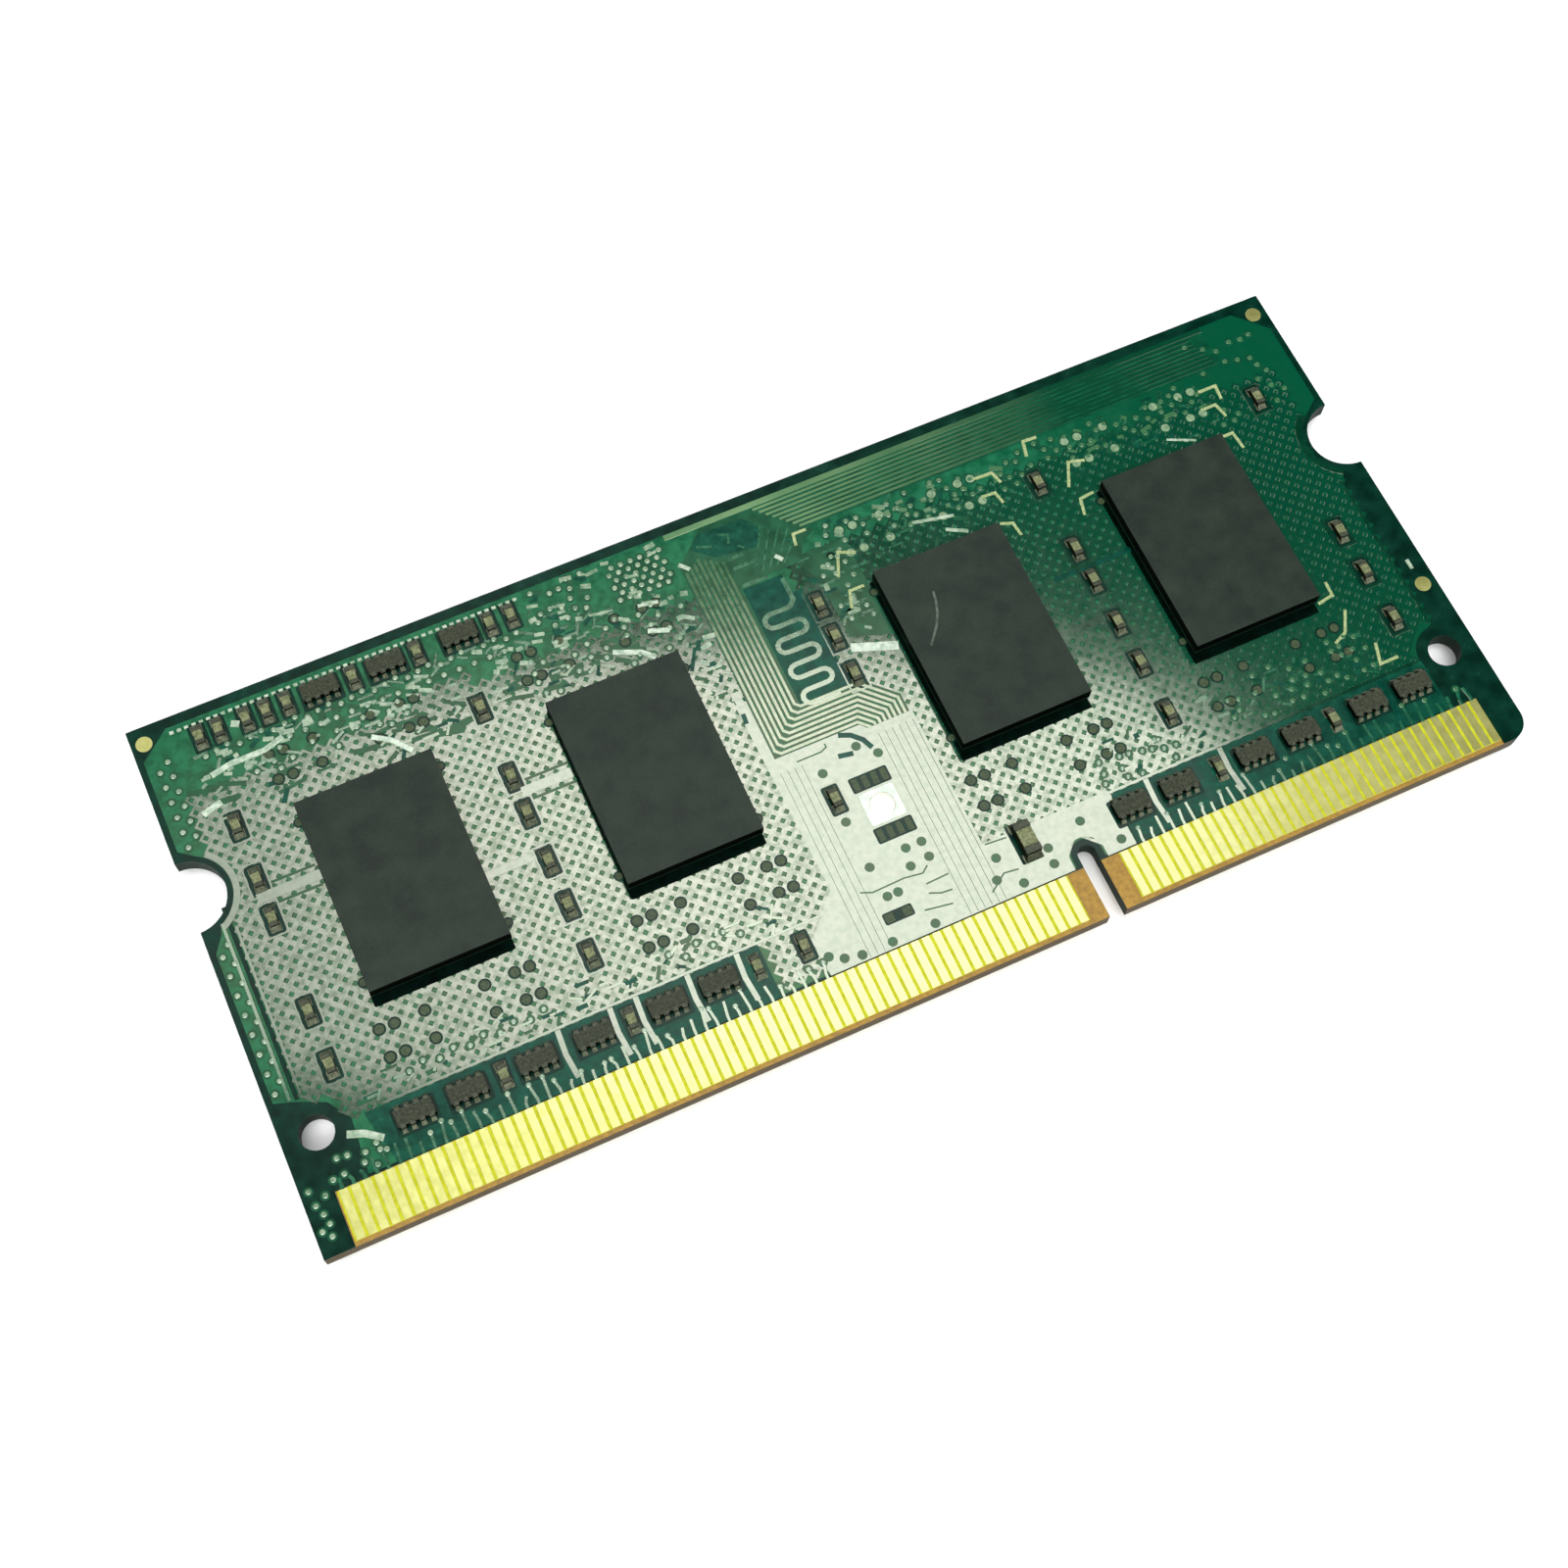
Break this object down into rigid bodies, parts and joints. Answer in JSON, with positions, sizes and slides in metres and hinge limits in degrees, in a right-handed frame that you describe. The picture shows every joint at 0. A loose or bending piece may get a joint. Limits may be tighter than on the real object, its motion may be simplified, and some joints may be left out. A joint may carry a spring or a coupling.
{
  "type": "ram module",
  "caption": "Small-outline memory module: flat keyed circuit board with edge contacts and rows of chips, which plugs into a latching socket as a computer's working memory.",
  "frame": {"origin": "centre of the module in plan, at the underside of the lower memory packages, on which it lies", "axes": "+X along the long edge, with the key notch on the +X side; +Y from the contact edge to the top edge; +Z out of the rear face, which faces up"},
  "size_m": [0.0676, 0.03, 0.0034],
  "materials": {
    "laminate": "green solder mask over copper",
    "gold": "bright gold plate",
    "carrier": "satin",
    "mould": "matt moulding compound",
    "silicon": "polished",
    "tinned": "tinned",
    "array": "glazed",
    "capacitor_ceramic": "satin"
  },
  "bodies": {
    "root": {"capacitor_1": "capacitor_ceramic", "capacitor_10": "capacitor_ceramic", "capacitor_11": "capacitor_ceramic", "capacitor_12": "capacitor_ceramic", "capacitor_13": "capacitor_ceramic", "capacitor_14": "capacitor_ceramic", "capacitor_2": "capacitor_ceramic", "capacitor_3": "capacitor_ceramic", "capacitor_4": "capacitor_ceramic", "capacitor_5": "capacitor_ceramic", "capacitor_6": "capacitor_ceramic", "capacitor_7": "capacitor_ceramic", "capacitor_8": "capacitor_ceramic", "capacitor_9": "capacitor_ceramic", "circuit_board": "laminate", "config_memory_body": "mould", "config_memory_leadframe": "tinned", "front_contacts_long_row": "gold", "front_contacts_short_row": "gold", "front_dram_1_carrier_and_balls": "carrier", "front_dram_1_die": "silicon", "front_dram_1_mould_cap": "mould", "front_dram_2_carrier_and_balls": "carrier", "front_dram_2_die": "silicon", "front_dram_2_mould_cap": "mould", "front_dram_3_carrier_and_balls": "carrier", "front_dram_3_die": "silicon", "front_dram_3_mould_cap": "mould", "front_dram_4_carrier_and_balls": "carrier", "front_dram_4_die": "silicon", "front_dram_4_mould_cap": "mould", "rear_contacts_long_row": "gold", "rear_contacts_short_row": "gold", "rear_dram_1_carrier_and_balls": "carrier", "rear_dram_1_die": "silicon", "rear_dram_1_mould_cap": "mould", "rear_dram_2_carrier_and_balls": "carrier", "rear_dram_2_die": "silicon", "rear_dram_2_mould_cap": "mould", "rear_dram_3_carrier_and_balls": "carrier", "rear_dram_3_die": "silicon", "rear_dram_3_mould_cap": "mould", "rear_dram_4_carrier_and_balls": "carrier", "rear_dram_4_die": "silicon", "rear_dram_4_mould_cap": "mould", "resistor_array_1": "array", "resistor_array_10": "array", "resistor_array_11": "array", "resistor_array_12": "array", "resistor_array_13": "array", "resistor_array_14": "array", "resistor_array_15": "array", "resistor_array_2": "array", "resistor_array_3": "array", "resistor_array_4": "array", "resistor_array_5": "array", "resistor_array_6": "array", "resistor_array_7": "array", "resistor_array_8": "array", "resistor_array_9": "array"}
  },
  "joints": []
}
